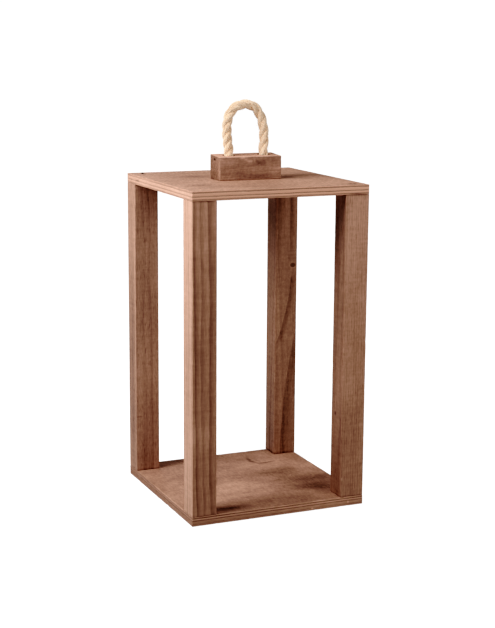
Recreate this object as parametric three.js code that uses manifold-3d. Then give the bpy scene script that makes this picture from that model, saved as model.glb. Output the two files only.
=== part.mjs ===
// Wooden candle lantern: four corner posts between two plywood panels, open on all four sides,
// with a wooden block on top that holds both ends of a rope handle.
// Millimetres. +X is to the right, +Y to the back and +Z up. The origin is on the ground,
// at the middle of the base.
import * as THREE from "three";
import { mergeVertices } from "three/addons/utils/BufferGeometryUtils.js";
import Module from "manifold-3d";

const wasm = await Module();
wasm.setup();

// ---------------------------------------------------------------- driving dimensions

const PANEL_SIDE = 180;
const PANEL_THICKNESS = 9.2;
const BODY_HEIGHT = 315.8; // ground to the top panel's upper face

// One planed batten makes the four posts and the handle block.
const BATTEN_WIDTH = 24.6;
const BATTEN_DEPTH = 22.6;
const ARRIS = 0.5; // chamfer on a batten's long edges

const BLOCK_LENGTH = 65;
const BLOCK_CENTRE = { x: 0.3, y: -2.4 };

const ROPE_RADIUS = 4.8;
const ROPE_SIDES = 10;
const ROPE_STEPS = 28;
const ROPE_HOLE_RADIUS = 5.4;
const ROPE_HOLE_DEPTH = 16.6;
const ROPE_END_DEPTH = 16;
const FOOT_X = 18.3; // half the distance between the two rope holes

const CLEARANCE = 0.3; // between a piece and the hole that was cut for it
const OVERRUN = 1; // how far a cutting tool stands out of the face that it cuts

// A fastener is sunk below the face. Its head has a straight rim, then narrows to its neck,
// and its shank ends in a pointed tip. Shank, neck and head are radii.
const NAIL = {
  length: 36,
  shank: 0.8,
  neck: 1,
  head: 1.25,
  rim: 0.8,
  headHeight: 1.3,
  tip: 3,
  sunk: 0.4,
};
const PIN = {
  length: 20.5,
  shank: 0.75,
  neck: 0.9,
  head: 1.15,
  rim: 0.6,
  headHeight: 1.1,
  tip: 2,
  sunk: 0.3,
};
const SCREW = {
  length: 22,
  shank: 1.5,
  neck: 1.6,
  head: 3.1,
  rim: 0.4,
  headHeight: 2.4,
  tip: 4,
  sunk: 0.2,
};
const PIN_DROP = 3.3; // pin's axis below the block's upper face
const SCREW_X = 7; // each block screw's distance from the block's middle
const SCREW_RECESS = { length: 3, width: 0.8, depth: 1.4 };

const ROUND_SIDES = 12;

// ---------------------------------------------------------------- derived sizes

const POST_LENGTH = BODY_HEIGHT - 2 * PANEL_THICKNESS;
const POST_X = (PANEL_SIDE - BATTEN_WIDTH) / 2;
const POST_Y = (PANEL_SIDE - BATTEN_DEPTH) / 2;
const BLOCK_TOP = BODY_HEIGHT + BATTEN_DEPTH;
const PIVOT_HEIGHT = ROPE_RADIUS + CLEARANCE; // the handle's hinge line above the block

// The rope loop's centreline in the block's own frame: x, and height above the block.
// It leans out a little at both feet and is flatter on its left shoulder.
const ROPE_ROUTE = [
  [-FOOT_X, PIVOT_HEIGHT],
  [-19.9, 18],
  [-19.9, 29.5],
  [-18.4, 37.6],
  [-14.6, 43.9],
  [-8.6, 48.1],
  [-1.7, 49.3],
  [5.2, 48.3],
  [10.6, 44.6],
  [15.2, 37.6],
  [17.7, 29.5],
  [18.9, 18],
  [FOOT_X, PIVOT_HEIGHT],
];

// ---------------------------------------------------------------- materials

const plywood = new THREE.MeshStandardMaterial({ color: 0xc99b7f, roughness: 0.7, metalness: 0 });
const batten = new THREE.MeshStandardMaterial({ color: 0xa8785a, roughness: 0.7, metalness: 0 });
const hemp = new THREE.MeshStandardMaterial({ color: 0xe0c39c, roughness: 0.95, metalness: 0 });
const steel = new THREE.MeshStandardMaterial({ color: 0x6a6460, roughness: 0.45, metalness: 1 });

// ---------------------------------------------------------------- solids

// A three.js geometry as a solid that can be cut and joined.
function solidOf(geometry) {
  const bare = geometry.clone();
  bare.deleteAttribute("normal");
  bare.deleteAttribute("uv");
  const merged = mergeVertices(bare, 1e-4);
  const vertProperties = new Float32Array(merged.attributes.position.array);
  const triVerts = new Uint32Array(merged.index.array);
  return new wasm.Manifold(new wasm.Mesh({ numProp: 3, vertProperties, triVerts }));
}

// A solid as a three.js geometry.
function geometryOf(solid) {
  const made = solid.getMesh();
  const geometry = new THREE.BufferGeometry();
  geometry.setAttribute("position", new THREE.BufferAttribute(made.vertProperties, 3));
  geometry.setIndex(new THREE.BufferAttribute(made.triVerts, 1));
  return geometry;
}

function cut(geometry, tools) {
  const solid = tools.reduce((left, tool) => left.subtract(solidOf(tool)), solidOf(geometry));
  return geometryOf(solid);
}

// A straight batten standing on z = 0, with chamfered long edges.
function battenGeometry(width, depth, length) {
  const x = width / 2;
  const y = depth / 2;
  const outline = new THREE.Shape();
  outline.moveTo(-x + ARRIS, -y);
  outline.lineTo(x - ARRIS, -y);
  outline.lineTo(x, -y + ARRIS);
  outline.lineTo(x, y - ARRIS);
  outline.lineTo(x - ARRIS, y);
  outline.lineTo(-x + ARRIS, y);
  outline.lineTo(-x, y - ARRIS);
  outline.lineTo(-x, -y + ARRIS);
  outline.closePath();
  return new THREE.ExtrudeGeometry(outline, { depth: length, bevelEnabled: false });
}

// A round bar along +Z, from z = low to z = high.
function roundBar(radius, low, high) {
  const bar = new THREE.CylinderGeometry(radius, radius, high - low, ROUND_SIDES);
  bar.rotateX(Math.PI / 2);
  bar.translate(0, 0, (low + high) / 2);
  return bar;
}

// A nail or screw that points down from z = 0: its head's face is at z = -sunk. A grown one is
// larger all round by the given gap and stands out of the face, so it cuts the nail's hole.
function fastener(size, gap = 0) {
  const face = gap > 0 ? OVERRUN : -size.sunk;
  const underHead = -size.sunk - size.headHeight - gap;
  const profile = [
    [0, -size.length - gap],
    [size.shank + gap, -size.length + size.tip - gap],
    [size.shank + gap, underHead],
    [size.neck + gap, underHead],
    [size.head + gap, -size.sunk - size.rim - gap],
    [size.head + gap, face],
    [0, face],
  ];
  const points = profile.map(([radius, height]) => new THREE.Vector2(radius, height));
  const turned = new THREE.LatheGeometry(points, ROUND_SIDES);
  turned.rotateX(Math.PI / 2);
  return turned;
}

// The same fastener turned over, so that it points up from z = 0.
function fastenerUp(size, gap = 0) {
  return fastener(size, gap).rotateX(Math.PI);
}

// ---------------------------------------------------------------- placing

const lantern = new THREE.Group();

function addMesh(parent, name, geometry, material, position = [0, 0, 0]) {
  const mesh = new THREE.Mesh(geometry, material);
  mesh.name = name;
  mesh.position.set(...position);
  parent.add(mesh);
}

// The four corners, with the name that each gives to its post and nails.
const corners = [];
for (const [depthName, depthSign] of [["front", -1], ["rear", 1]]) {
  for (const [sideName, sideSign] of [["left", -1], ["right", 1]]) {
    corners.push({ name: `${depthName}_${sideName}`, x: sideSign * POST_X, y: depthSign * POST_Y });
  }
}

const sides = [
  { name: "left", sign: -1 },
  { name: "right", sign: 1 },
];

// ---------------------------------------------------------------- panels, posts and nails

function panelGeometry() {
  const panel = new THREE.BoxGeometry(PANEL_SIDE, PANEL_SIDE, PANEL_THICKNESS);
  panel.translate(0, 0, PANEL_THICKNESS / 2);
  return panel;
}

// Nails go up through the base panel and down through the top panel, one of each to a post.
const baseHoles = corners.map(({ x, y }) => fastenerUp(NAIL, CLEARANCE).translate(x, y, 0));
addMesh(lantern, "base_panel", cut(panelGeometry(), baseHoles), plywood);

const topHoles = corners.map(({ x, y }) => fastener(NAIL, CLEARANCE).translate(x, y, PANEL_THICKNESS));
const screwHoles = sides.map(({ sign }) =>
  fastenerUp(SCREW, CLEARANCE).translate(BLOCK_CENTRE.x + sign * SCREW_X, BLOCK_CENTRE.y, 0),
);
const topPanel = cut(panelGeometry(), [...topHoles, ...screwHoles]);
addMesh(lantern, "top_panel", topPanel, plywood, [0, 0, BODY_HEIGHT - PANEL_THICKNESS]);

function postGeometry() {
  const down = fastener(NAIL, CLEARANCE).translate(0, 0, POST_LENGTH + PANEL_THICKNESS);
  const up = fastenerUp(NAIL, CLEARANCE).translate(0, 0, -PANEL_THICKNESS);
  return cut(battenGeometry(BATTEN_WIDTH, BATTEN_DEPTH, POST_LENGTH), [down, up]);
}

for (const { name, x, y } of corners) {
  addMesh(lantern, `post_${name}`, postGeometry(), batten, [x, y, PANEL_THICKNESS]);
  addMesh(lantern, `top_nail_${name}`, fastener(NAIL), steel, [x, y, BODY_HEIGHT]);
  addMesh(lantern, `base_nail_${name}`, fastenerUp(NAIL), steel, [x, y, 0]);
}

// ---------------------------------------------------------------- handle block, pins and screws

// Everything on the handle is placed in the block's own frame: x along the block, z = 0 on the
// block's upper face.
const handle = new THREE.Group();
handle.position.set(BLOCK_CENTRE.x, BLOCK_CENTRE.y, BLOCK_TOP);
lantern.add(handle);

const END_FACE = BLOCK_LENGTH / 2;
const PANEL_UNDERSIDE = -BATTEN_DEPTH - PANEL_THICKNESS;

// A pin driven in at one end of the block, pointing to the block's middle.
function pinAt(side, gap) {
  return fastener(PIN, gap)
    .rotateY((side.sign * Math.PI) / 2)
    .translate(side.sign * END_FACE, 0, -PIN_DROP);
}

function blockGeometry() {
  const block = battenGeometry(BATTEN_DEPTH, BATTEN_WIDTH, BLOCK_LENGTH);
  block.rotateY(Math.PI / 2);
  block.translate(-END_FACE, 0, -BATTEN_DEPTH / 2);
  const tools = sides.flatMap((side) => [
    roundBar(ROPE_HOLE_RADIUS, -ROPE_HOLE_DEPTH, OVERRUN).translate(side.sign * FOOT_X, 0, 0),
    pinAt(side, CLEARANCE),
    fastenerUp(SCREW, CLEARANCE).translate(side.sign * SCREW_X, 0, PANEL_UNDERSIDE),
  ]);
  return cut(block, tools);
}

// A screw with a cross recess in its head.
function screwGeometry() {
  const { length, width, depth } = SCREW_RECESS;
  const along = new THREE.BoxGeometry(length, width, 2 * depth).translate(0, 0, SCREW.sunk);
  const across = new THREE.BoxGeometry(width, length, 2 * depth).translate(0, 0, SCREW.sunk);
  return cut(fastenerUp(SCREW), [along, across]);
}

addMesh(handle, "handle_block", blockGeometry(), batten);
for (const side of sides) {
  addMesh(handle, `rope_pin_${side.name}`, pinAt(side), steel);
  const place = [side.sign * SCREW_X, 0, PANEL_UNDERSIDE];
  addMesh(handle, `block_screw_${side.name}`, screwGeometry(), steel, place);
}

// ---------------------------------------------------------------- rope

function ropeSection() {
  const points = [];
  for (let i = 0; i < ROPE_SIDES; i += 1) {
    const angle = (2 * Math.PI * i) / ROPE_SIDES;
    points.push(new THREE.Vector2(ROPE_RADIUS * Math.cos(angle), ROPE_RADIUS * Math.sin(angle)));
  }
  return new THREE.Shape(points);
}

// The loop tips on a line through both feet, so each foot is a ball about that line.
function ropeLoopGeometry() {
  const route = new THREE.CatmullRomCurve3(ROPE_ROUTE.map(([x, z]) => new THREE.Vector3(x, 0, z)));
  const tube = new THREE.ExtrudeGeometry(ropeSection(), { steps: ROPE_STEPS, extrudePath: route });
  const balls = sides.map((side) =>
    new THREE.SphereGeometry(ROPE_RADIUS, ROUND_SIDES, ROUND_SIDES / 2)
      .rotateX(Math.PI / 2)
      .translate(side.sign * FOOT_X, 0, PIVOT_HEIGHT),
  );
  return geometryOf(balls.reduce((rope, ball) => rope.add(solidOf(ball)), solidOf(tube)));
}

// The end of the rope inside the block, with the pin's way through it.
function ropeEndGeometry(side) {
  const end = roundBar(ROPE_RADIUS, -ROPE_END_DEPTH, 0).translate(side.sign * FOOT_X, 0, 0);
  return cut(end, [pinAt(side, CLEARANCE)]);
}

addMesh(handle, "rope_loop", ropeLoopGeometry(), hemp);
for (const side of sides) {
  addMesh(handle, `rope_end_${side.name}`, ropeEndGeometry(side), hemp);
}

export default lantern;
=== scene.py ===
"""A wooden lantern: two plywood panels on four corner battens, with a batten block and a rope loop on top.

Metres, +Z up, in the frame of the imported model. Lengths written as numbers are millimetres times MM. The
materials measure places in millimetres.
"""
import collections
import functools
import itertools
import math
import random

import bmesh
import bpy
import numpy as np
from mathutils import Matrix, Vector, noise


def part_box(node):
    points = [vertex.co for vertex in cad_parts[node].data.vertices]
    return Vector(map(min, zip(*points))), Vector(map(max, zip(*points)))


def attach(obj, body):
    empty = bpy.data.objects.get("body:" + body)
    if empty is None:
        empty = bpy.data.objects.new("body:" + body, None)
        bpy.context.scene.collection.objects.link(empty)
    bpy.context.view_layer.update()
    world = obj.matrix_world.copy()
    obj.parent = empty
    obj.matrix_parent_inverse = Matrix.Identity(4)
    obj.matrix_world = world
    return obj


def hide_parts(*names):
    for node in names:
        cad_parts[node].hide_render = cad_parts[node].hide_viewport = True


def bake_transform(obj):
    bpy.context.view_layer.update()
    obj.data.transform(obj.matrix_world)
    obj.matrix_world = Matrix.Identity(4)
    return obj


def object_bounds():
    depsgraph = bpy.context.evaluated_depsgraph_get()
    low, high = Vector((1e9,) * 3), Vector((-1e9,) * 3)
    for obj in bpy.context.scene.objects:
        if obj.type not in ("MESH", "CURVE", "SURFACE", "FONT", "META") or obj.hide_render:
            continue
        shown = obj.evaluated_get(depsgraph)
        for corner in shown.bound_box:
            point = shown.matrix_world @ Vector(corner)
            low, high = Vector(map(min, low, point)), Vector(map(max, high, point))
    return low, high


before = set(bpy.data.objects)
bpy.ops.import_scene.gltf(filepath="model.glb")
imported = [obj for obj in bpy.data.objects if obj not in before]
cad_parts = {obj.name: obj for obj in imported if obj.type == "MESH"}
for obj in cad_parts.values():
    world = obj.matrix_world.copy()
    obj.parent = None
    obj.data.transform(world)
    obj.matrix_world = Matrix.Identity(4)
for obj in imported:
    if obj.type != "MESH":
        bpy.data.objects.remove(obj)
CAD_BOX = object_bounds()

MM = 0.001
ROOT, HANDLE = "root", "rope_handle"

# The camera: what it looks at, from how far, and its heading, tilt and roll in degrees.
CAMERA_TARGET = Vector((4.1, 0, 180.5)) * MM
CAMERA_DISTANCE = 1435.55 * MM
CAMERA_HEADING, CAMERA_TILT, CAMERA_ROLL = -23.461, 11.2575, 0.3748
CAMERA_LENS, CAMERA_SENSOR = 82.622, 36

# How bright each amount of light is shown, from black to white.
FILM_RESPONSE = [
    (0.03, 0.004), (0.06, 0.029), (0.12, 0.119), (0.25, 0.30), (0.5, 0.57), (0.8, 0.83), (1.1, 1.0),
]

# Each softbox: its name, compass heading and height in degrees, distance and side in metres, and power.
SOFTBOXES = [
    ("key_light", 187, 31, 0.80, 0.27, 3.0),
    ("upper_light", 185, 53, 0.85, 0.40, 4.3),
    ("front_light", -60, 35, 0.95, 0.45, 1.8),
    ("low_light", -85, 15, 1.00, 0.70, 0.6),
    ("back_light", 90, 15, 1.20, 0.60, 1.2),
    ("right_light", 8, 12, 1.20, 0.60, 1.4),
]
AMBIENT_COLOUR, AMBIENT_STRENGTH = (1.0, 0.93, 0.86, 1), 0.145

# How strongly the floor glows under the lantern, and how strongly it and the surround do further away.
FLOOR_GLOW, SURROUND_GLOW = 0.98, 1.13
FLOOR_RADIUS, SURROUND_RADIUS, FLOOR_DROP = 4.0, 9.0, 0.3 * MM

BLOCK_LOW, BLOCK_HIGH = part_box("handle_block")
BLOCK_MIDDLE = (BLOCK_LOW + BLOCK_HIGH) / 2
CORNERS, SIDES = ("front_left", "front_right", "rear_left", "rear_right"), ("left", "right")

# The rope, in millimetres: its route in the plane of the loop, as (across, above the block's upper face), and
# how far from the block's middle and how deep in the block its two ends stand.
ROPE_ROUTE = [
    (-18.3, 5.1), (-19.9, 18), (-19.9, 29.5), (-18.4, 37.6), (-14.6, 43.9), (-8.6, 48.1), (-1.7, 49.3),
    (5.2, 48.3), (10.6, 44.6), (15.2, 37.6), (17.7, 29.5), (18.9, 18), (18.3, 5.1),
]
ROPE_FOOT, ROPE_END_DEPTH = 18.3, 16
ROPE_DIAMETER = 9.6 * MM
ROPE_HOLE_RADIUS, ROPE_HOLE_DEPTH = 5.4 * MM, 16.6 * MM

# Its three strands: the length of one turn at the left end and at the right end, and the first turn's start.
STRANDS = 3
ROPE_LAY_LEFT, ROPE_LAY_RIGHT = 23.5 * MM, 38 * MM
ROPE_TWIST = -0.05
STRAND_RADIUS, STRAND_OFFSET = 2.62 * MM, 2.18 * MM
YARNS, YARN_TURN = 8, 26 * MM
ROPE_STEP, LOOSE_FIBRES = 0.5 * MM, 640

# A sawn piece: the spacing of its surface's points along X, Y and Z, how far its arrises are rounded, and how
# many bruises they have and how deep.
Sawn = collections.namedtuple("Sawn", "step rounding nicks nick_depth")
POST = Sawn((2.2 * MM, 2.2 * MM, 1.6 * MM), 0.7 * MM, 16, 0.55 * MM)
PANEL = Sawn((1.5 * MM, 1.5 * MM, 1.0 * MM), 0.45 * MM, 70, 0.7 * MM)
BLOCK = Sawn((1.2 * MM, 1.2 * MM, 1.2 * MM), 0.75 * MM, 14, 0.6 * MM)
CLOSEST_LINES = 0.03 * MM

# Faces that have spots: the axis that each looks along, and its place there, in millimetres from the piece's
# middle or from a panel's underside; and the place of a post's foot.
POST_LEFT, POST_FRONT, BLOCK_FRONT, PANEL_TOP = (0, -12), (1, -12), (1, -11), (2, 9)
POST_FOOT = -149

# How much higher the block's upper face was sawn at the back than at the front.
BLOCK_RISE = 1.4 * MM

# Each ply, from a panel's underside: thickness in millimetres, whether its grain runs along Y, and its tone.
TOP_PLIES = [
    (0.8, 0, 0.03), (0.9, 1, 0.20), (1.9, 0, -0.12), (0.9, 1, 0.22), (2.6, 0, -0.14), (1.1, 1, 0.20),
    (0.8, 0, 0.06),
]
BASE_PLIES = [
    (0.9, 0, 0.00), (1.4, 1, 0.07), (2.6, 0, 0.04), (1.0, 1, 0.14), (1.2, 0, -0.10), (1.1, 1, 0.14),
    (0.8, 0, -0.05),
]
GLUE_WIDTH = 0.22

# A nail's shank radius, head height, tip length and how far it is driven below the face.
Nail = collections.namedtuple("Nail", "shank height tip sunk")
PANEL_NAIL = Nail(0.8 * MM, 1.3 * MM, 3 * MM, 0.4 * MM)
ROPE_PIN = Nail(0.75 * MM, 1.1 * MM, 2 * MM, 0.3 * MM)
NAIL_CLEARANCE = 0.12 * MM
PROUD_NAIL = {"top_nail_rear_left": 1.2 * MM}

# The screws: the radius of the core, the height of the head and how far it is driven below the face.
SCREW_CORE, SCREW_HEAD_HEIGHT, SCREW_SUNK = 1.1 * MM, 2.4 * MM, 0.2 * MM
SCREW_PITCH, THREAD_HEIGHT = 1.6 * MM, 0.42 * MM


# ---------------------------------------------------------------- camera, light and floor

def add_camera():
    """The camera, turned about the point it looks at."""
    data = bpy.data.cameras.new("camera")
    data.sensor_width = CAMERA_SENSOR
    data.lens = CAMERA_LENS
    data.clip_start, data.clip_end = 0.05, 50
    camera = bpy.data.objects.new("camera", data)
    bpy.context.scene.collection.objects.link(camera)
    turn = (
        Matrix.Rotation(math.radians(CAMERA_HEADING), 4, "Z")
        @ Matrix.Rotation(math.radians(90 - CAMERA_TILT), 4, "X")
        @ Matrix.Rotation(math.radians(CAMERA_ROLL), 4, "Z")
    )
    backwards = turn.to_3x3() @ Vector((0, 0, 1))
    camera.matrix_world = Matrix.Translation(CAMERA_TARGET + backwards * CAMERA_DISTANCE) @ turn
    bpy.context.scene.camera = camera


def add_softbox(name, heading, height, distance, size, power):
    """A square area light that faces the middle of the lantern."""
    data = bpy.data.lights.new(name, "AREA")
    data.shape = "SQUARE"
    data.size = size
    data.energy = power
    light = bpy.data.objects.new(name, data)
    bpy.context.scene.collection.objects.link(light)
    along, up = math.radians(heading), math.radians(height)
    away = Vector((math.cos(along) * math.cos(up), math.sin(along) * math.cos(up), math.sin(up)))
    light.location = CAMERA_TARGET + away * distance
    light.rotation_euler = away.to_track_quat("Z", "Y").to_euler()


def set_film():
    """A film-like response: each halving of the light costs the same step of brightness."""
    settings = bpy.context.scene.view_settings
    settings.view_transform = "Standard"
    settings.look = "None"
    settings.use_curve_mapping = True
    mapping = settings.curve_mapping
    mapping.use_clip = False
    curve = mapping.curves[3]
    for light, shown in FILM_RESPONSE[:-1]:
        curve.points.new(light, shown)
    curve.points[0].location = (0, 0)
    curve.points[-1].location = FILM_RESPONSE[-1]
    mapping.update()


def add_studio():
    """Soft light from the left, weaker lights all round, a pale floor and a white surround."""
    scene = bpy.context.scene
    scene.world = bpy.data.worlds.new("studio")
    scene.world.use_nodes = True
    ambient = scene.world.node_tree.nodes["Background"]
    ambient.inputs["Color"].default_value = AMBIENT_COLOUR
    ambient.inputs["Strength"].default_value = AMBIENT_STRENGTH
    for softbox in SOFTBOXES:
        add_softbox(*softbox)

    add_stage("floor", ring(FLOOR_RADIUS, -FLOOR_DROP, 96), [range(96)], floor_paint())
    ball = []
    for row in range(25):
        fall = math.pi * row / 24
        ball += ring(SURROUND_RADIUS * math.sin(fall), SURROUND_RADIUS * math.cos(fall), 48)
    surround = add_stage("surround", ball, tube_faces(0, 25, 48)[:-2], surround_paint())
    surround.visible_glossy = False
    surround.visible_shadow = False


def add_stage(name, points, faces, material):
    """A part of the studio, which throws no soft light on the lantern."""
    mesh = bpy.data.meshes.new(name)
    mesh.from_pydata(points, [], faces)
    thing = bpy.data.objects.new(name, mesh)
    bpy.context.scene.collection.objects.link(thing)
    thing.data.materials.append(material)
    thing.visible_diffuse = False
    thing.visible_transmission = False
    return thing


# ---------------------------------------------------------------- shader building

class Value:
    """What a node gives: a number, or three for a place, direction or colour, that varies over the surface.

    Its + - * and abs() add the nodes that work them out.
    """

    def __init__(self, shader, socket):
        self.shader = shader
        self.socket = socket
        self.work = shader.vector if socket.type in ("VECTOR", "RGBA") else shader.math

    def __add__(self, other):
        return self.work("ADD", self, other)

    def __sub__(self, other):
        return self.work("SUBTRACT", self, other)

    def __rsub__(self, other):
        return self.work("SUBTRACT", other, self)

    def __mul__(self, other):
        return self.work("MULTIPLY", self, other)

    def __abs__(self):
        return self.work("ABSOLUTE", self)

    __radd__ = __add__
    __rmul__ = __mul__

    def length(self):
        return self.shader.vector("LENGTH", self, output="Value")

    def parts(self):
        """The three numbers of a place, direction or colour."""
        split = self.shader.node("ShaderNodeSeparateXYZ", {0: self})
        return [Value(self.shader, socket) for socket in split.outputs]


class Shader:
    """A material under construction: each call adds nodes and returns what they give."""

    def __init__(self, name):
        self.material = bpy.data.materials.new(name)
        self.material.use_nodes = True
        self.tree = self.material.node_tree
        self.surface = self.tree.nodes["Principled BSDF"]

    def put(self, socket, value):
        if isinstance(value, Value):
            self.tree.links.new(value.socket, socket)
        else:
            socket.default_value = value

    def node(self, kind, inputs, **settings):
        made = self.tree.nodes.new(kind)
        for key, value in settings.items():
            setattr(made, key, value)
        for key, value in inputs.items():
            self.put(made.inputs[key], value)
        return made

    def add(self, kind, inputs, output=0, **settings):
        return Value(self, self.node(kind, inputs, **settings).outputs[output])

    def math(self, operation, a, b=0.0, c=0.0):
        return self.add("ShaderNodeMath", {0: a, 1: b, 2: c}, operation=operation)

    def vector(self, operation, a, b=0.0, output=0):
        """Vector arithmetic; a plain number for b stands for three that are the same."""
        if isinstance(b, (int, float)):
            b = (b, b, b)
        return self.add("ShaderNodeVectorMath", {0: a, 1: b}, output, operation=operation)

    def least(self, a, b):
        return self.math("MINIMUM", a, b)

    def most(self, a, b):
        return self.math("MAXIMUM", a, b)

    def total(self, start, *terms):
        """A number plus its terms: (weight, value), or (weight, value, middle) to weigh value - middle."""
        start = start - sum(weight * middle[0] for weight, _, *middle in terms if middle)
        for weight, value, *_ in terms:
            start = self.math("MULTIPLY_ADD", value, weight, start)
        return start

    def join(self, x, y, z):
        return self.add("ShaderNodeCombineXYZ", {0: x, 1: y, 2: z})

    def millimetres(self, middle):
        """The place in the object's own frame, in millimetres from a point given in metres."""
        return (self.add("ShaderNodeTexCoord", {}, "Object") - tuple(middle)) * (1 / MM)

    def normal(self):
        """The surface's direction in the object's own frame."""
        return self.add("ShaderNodeTexCoord", {}, "Normal")

    def attribute(self, name, output):
        return self.add("ShaderNodeAttribute", {}, output, attribute_name=name)

    def noise(self, place, scale, seed=0.0, detail=2.0, rough=0.5, output="Fac"):
        """Noise of about one wave per 1/scale millimetres, where scale is one number or one for each axis."""
        spot = place * scale + (seed, 1.7 * seed, -2.3 * seed)
        inputs = {"Vector": spot, "Scale": 1.0, "Detail": detail, "Roughness": rough}
        return self.add("ShaderNodeTexNoise", inputs, output)

    def span(self, value, low, high, to_low=0.0, to_high=1.0, kind="SMOOTHSTEP"):
        """The value's way from low to high, as a number from to_low to to_high."""
        inputs = {"Value": value, "From Min": low, "From Max": high, "To Min": to_low, "To Max": to_high}
        return self.add("ShaderNodeMapRange", inputs, interpolation_type=kind)

    def ramp(self, value, stops, kind="LINEAR"):
        """The colour that a list of (position, colour) gives for a value."""
        made = self.node("ShaderNodeValToRGB", {0: value})
        made.color_ramp.interpolation = kind
        elements = made.color_ramp.elements
        while len(elements) > 1:
            elements.remove(elements[-1])
        elements[0].position = stops[0][0]
        elements[0].color = (*stops[0][1], 1)
        for position, colour in stops[1:]:
            elements.new(position).color = (*colour, 1)
        return Value(self, made.outputs["Color"])

    def level(self, value, stops, kind="LINEAR"):
        """A ramp of grey levels, as one number."""
        return self.add("ShaderNodeRGBToBW", {0: self.ramp(value, [(p, (v, v, v)) for p, v in stops], kind)})

    def mix(self, factor, a, b, blend_type="MIX"):
        a, b = (side if isinstance(side, Value) else (*side, 1) for side in (a, b))
        return self.add("ShaderNodeMix", {0: factor, 6: a, 7: b}, 2, data_type="RGBA", blend_type=blend_type)

    def spot(self, place, middle, size):
        """A soft round spot: 1 at its middle, near 0 one size away, and nothing from 1.3 sizes on."""
        return self.span(((place - middle) * tuple(1 / s for s in size)).length(), 1.3, 0.0)

    def spots(self, place, spots):
        """The tone that spots add up to, each given as (middle, size, tone change) in millimetres."""
        return self.total(0.0, *[(change, self.spot(place, middle, size)) for middle, size, change in spots])

    def coat(self, **inputs):
        """Sets the surface's inputs and returns the finished material."""
        for key, value in inputs.items():
            self.put(self.surface.inputs[key.replace("_", " ")], value)
        return self.material

    def relief(self, height, depth, strength):
        """The normals of a relief: its height goes from 0 to 1, and it is depth metres high."""
        return self.add("ShaderNodeBump", {"Strength": strength, "Distance": depth, "Height": height})


# ---------------------------------------------------------------- materials

WOOD_TONES = [
    (-0.25, (0.930, 0.515, 0.370)),
    (0.00, (0.700, 0.396, 0.288)),
    (0.25, (0.490, 0.271, 0.195)),
    (0.50, (0.325, 0.178, 0.128)),
    (0.75, (0.190, 0.102, 0.072)),
    (1.00, (0.075, 0.037, 0.025)),
]
SOLID_YEAR = [(0, 0.05), (0.25, 0.0), (0.6, 0.42), (0.84, 1.0), (0.93, 0.7), (1, 0.05)]
VENEER_YEAR = [(0, 0.1), (0.3, 0.0), (0.7, 0.5), (0.9, 1.0), (1, 0.1)]
ROPE_TONES = [
    (0.00, (0.980, 0.800, 0.610)),
    (0.20, (0.920, 0.700, 0.500)),
    (0.45, (0.800, 0.570, 0.385)),
    (0.70, (0.580, 0.380, 0.240)),
    (1.00, (0.260, 0.145, 0.080)),
]


def surround_paint():
    shader = Shader("surround_white")
    glow = shader.node("ShaderNodeEmission", {"Color": (1, 1, 1, 1), "Strength": SURROUND_GLOW})
    shader.tree.links.new(glow.outputs[0], shader.tree.nodes["Material Output"].inputs["Surface"])
    return shader.material


def floor_paint():
    """A pale matt floor that brightens into the surround away from the lantern."""
    shader = Shader("floor_paint")
    place = shader.millimetres((0, 0, 0))
    mottle = shader.noise(place, 0.004, 1.0, 3.0)
    colour = shader.mix(mottle, (0.50, 0.49, 0.48), (0.53, 0.52, 0.51))
    glow = shader.span(place.length(), 150, 600, FLOOR_GLOW, SURROUND_GLOW)
    return shader.coat(Base_Color=colour, Roughness=0.75, Emission_Color=(1, 1, 1, 1), Emission_Strength=glow)


def wood_colour(shader, tone):
    """The stained wood's colour, from the palest tone of the list to the darkest."""
    palest, darkest = WOOD_TONES[0][0], WOOD_TONES[-1][0]
    share = shader.span(tone, palest, darkest, kind="LINEAR")
    return shader.ramp(share, [((at - palest) / (darkest - palest), colour) for at, colour in WOOD_TONES])


def growth_rings(shader, radius, ring, phase, evenness):
    """Latewood from 0 to 1: it darkens towards each year's end, in some years more than in others."""
    years = radius * (1 / ring) + phase
    year = {"W": shader.math("FLOOR", years)}
    vigour = shader.add("ShaderNodeTexWhiteNoise", year, "Value", noise_dimensions="1D")
    latewood = shader.level(shader.math("FRACT", years), SOLID_YEAR, "B_SPLINE")
    return latewood * (vigour * (1 - evenness) + evenness)


def grow_round_knots(shader, u, g, radius, knots):
    """The radius with its rings pushed aside round each knot, and how far the knots' dark cores show."""
    core = 0.0
    for across, up, size, push in knots:
        offset = shader.join(u - across, 0.0, g - up)
        flow = (offset * (1 / (3.2 * size), 0, 1 / (11 * size))).length()
        radius = radius + shader.span(flow, 1.6, 0.0) * push
        near = (offset * (0.85 / size, 0, 1.1 / size)).length()
        rings = abs(shader.math("SINE", near * 6.0))
        core = shader.most(core, shader.span(near, 1.25, 0.75) * (rings * 0.25 + 0.75))
    return radius, core


def flame_tone(shader, u, g, flames):
    """The tone of the flames: each band is sharp on its left, soft on its right, and fades at its ends."""
    tone = 0.0
    for (upper_u, upper_g), (lower_u, lower_g), sag, width, change in flames:
        share = shader.span(g, upper_g, lower_g, kind="LINEAR")
        beyond = u - (share * (lower_u - upper_u) + upper_u + share * (1 - share) * (4 * sag))
        band = shader.span(beyond, -0.4, 0.5) * shader.span(beyond, width, 0.2 * width)
        ends = shader.span(g, upper_g, upper_g - 6) * shader.span(g, lower_g - 5, lower_g + 8)
        tone = band * ends * change + tone
    return tone


def painted_face_shading(shader, facing_u, facing_v, sides):
    """Painted light and shade: the tone of each side face, given for the faces that look along -u, +u, -v and
    +v.
    """
    tone = 0.0
    for facing, change in zip((facing_u * -1, facing_u, facing_v * -1, facing_v), sides):
        tone = shader.most(facing, 0.0) * change + tone
    return tone


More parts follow.
